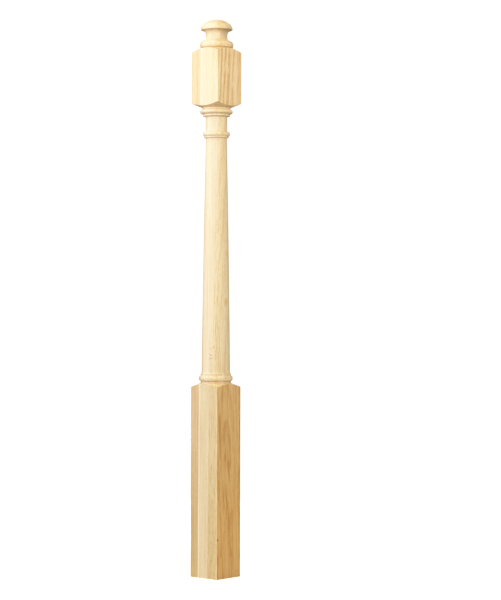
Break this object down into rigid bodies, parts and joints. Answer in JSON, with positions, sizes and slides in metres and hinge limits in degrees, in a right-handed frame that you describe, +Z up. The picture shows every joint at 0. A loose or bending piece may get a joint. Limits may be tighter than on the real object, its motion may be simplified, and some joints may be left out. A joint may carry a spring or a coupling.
{
  "type": "newel post",
  "caption": "Square wooden newel post with a turned, tapered shaft, ring mouldings and a low mushroom knob, for the end of a staircase handrail.",
  "frame": {"origin": "middle of the square underside, at floor level", "axes": "+Z up along the post; the flat sides of the square blocks face +X, -X, +Y and -Y"},
  "size_m": [0.0776, 0.0776, 1.2192],
  "materials": {
    "turned_wood": "bare pale wood, turned and fine-sanded, glued up from three boards"
  },
  "bodies": {
    "root": {"newel_post": "turned_wood"}
  },
  "joints": []
}
